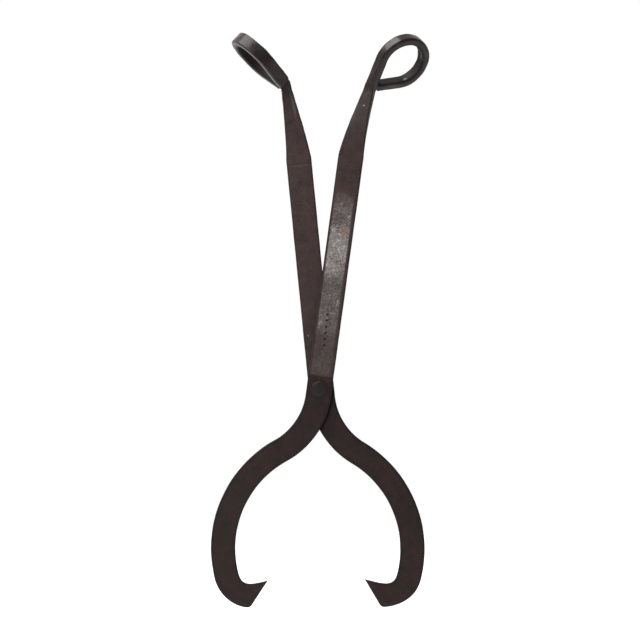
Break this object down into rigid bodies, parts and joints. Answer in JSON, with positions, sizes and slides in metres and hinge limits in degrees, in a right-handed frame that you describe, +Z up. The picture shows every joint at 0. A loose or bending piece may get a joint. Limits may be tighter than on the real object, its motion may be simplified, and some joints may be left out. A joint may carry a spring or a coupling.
{
  "type": "ice tongs",
  "caption": "Scissor-type ice tongs: crossed flat steel arms on a rivet, hooked jaws below, and bar handles rolled into teardrop eyes.",
  "frame": {"origin": "centre of the front arm's eye, which the tongs hang by", "axes": "+Z up the tongs from the points to the handles, +X to the right as the front arm faces the viewer, -Y to the front"},
  "size_m": [0.2191, 0.0651, 0.5757],
  "materials": {
    "worn_forged_steel": "dark brown-grey patina, worn grey on the flat of the handle",
    "dark_forged_steel": "dark reddish-brown patina with fine pitting",
    "rivet_steel": "dark hammered patina with a little rust round the head"
  },
  "bodies": {
    "front_arm": {"front_arm": "worn_forged_steel", "rivet": "rivet_steel"},
    "rear_arm": {"rear_arm": "dark_forged_steel"}
  },
  "joints": [
    {"name": "rivet_pivot", "type": "hinge", "parent": "front_arm", "child": "rear_arm", "pos_m": [-0.08287, -0.00583, -0.3277], "axis": [0, -1, 0], "range_deg": [-14, 50]}
  ]
}
